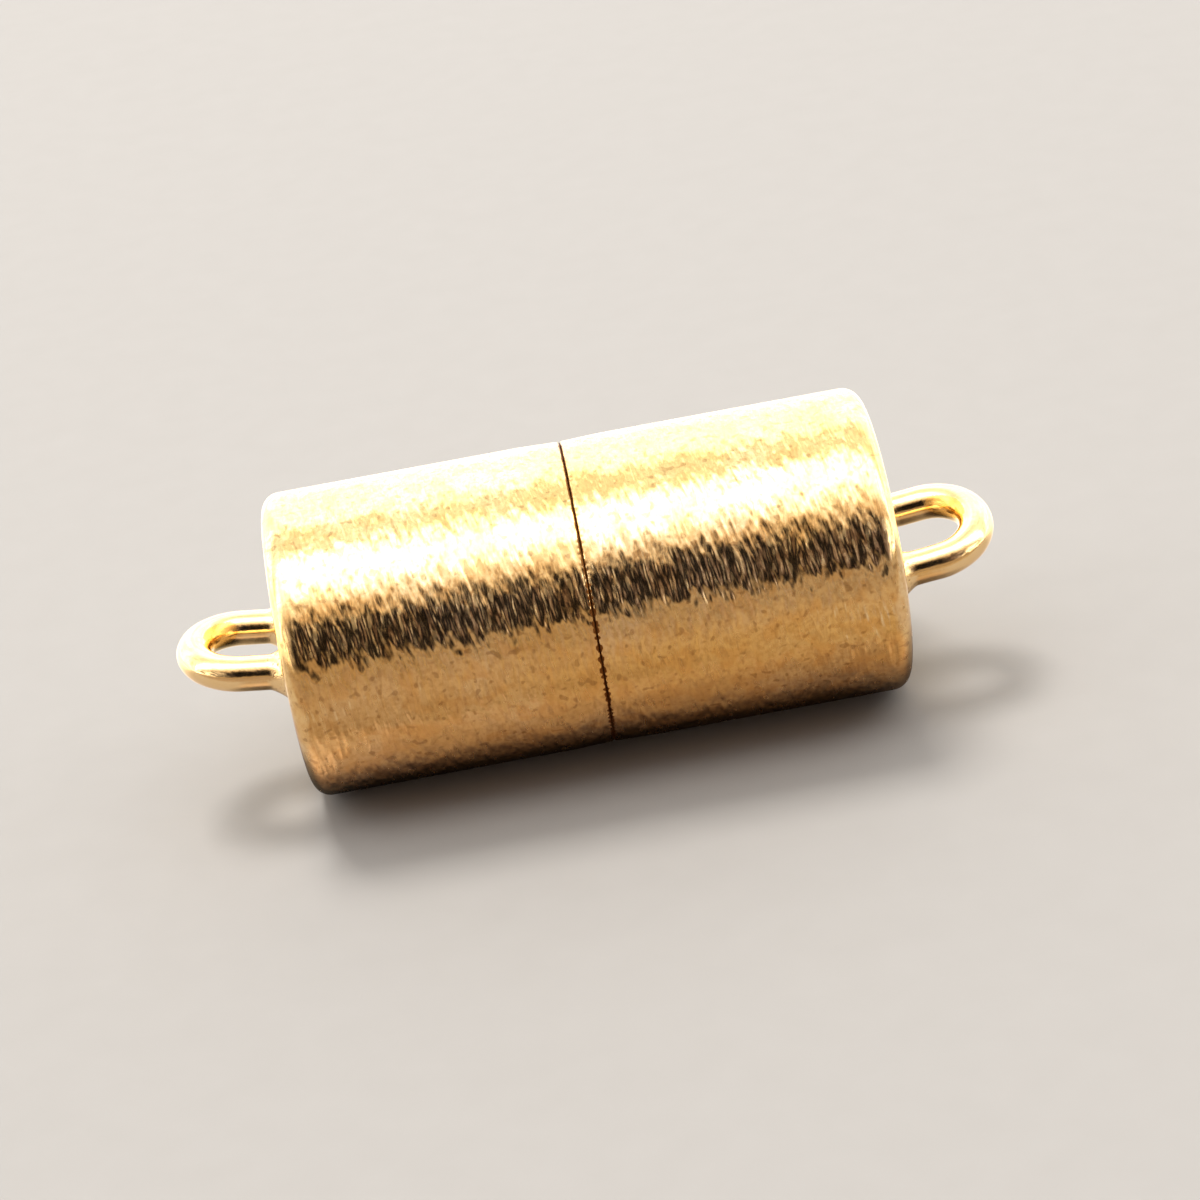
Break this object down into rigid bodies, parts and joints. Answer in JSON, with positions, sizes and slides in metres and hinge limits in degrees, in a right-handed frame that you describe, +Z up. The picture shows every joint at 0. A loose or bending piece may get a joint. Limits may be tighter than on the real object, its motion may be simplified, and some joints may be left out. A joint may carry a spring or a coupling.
{
  "type": "magnetic clasp",
  "caption": "Cylindrical magnetic clasp that pulls apart at its middle, with a soldered wire loop on each end to join a necklace or bracelet.",
  "frame": {"origin": "on the surface that the barrel lies on, under the middle of the clasp's length", "axes": "+X along the barrel's axis towards the half with the standing magnet, +Z up; the other half's loop lies in a plane along Y"},
  "size_m": [0.0188, 0.007, 0.007],
  "materials": {
    "brushed_gold": "gold-plated brass, brushed around the barrel, with polished loops and end edges",
    "magnet_nickel": "bright nickel plate on the magnets, with light rub marks on their faces"
  },
  "bodies": {
    "socket": {"socket_half": "brushed_gold", "socket_magnet": "magnet_nickel"},
    "plug": {"plug_half": "brushed_gold", "plug_magnet": "magnet_nickel"}
  },
  "joints": [
    {"name": "pull_apart", "type": "slide", "parent": "socket", "child": "plug", "axis": [1, 0, 0], "range_m": [0, 0.01]}
  ]
}
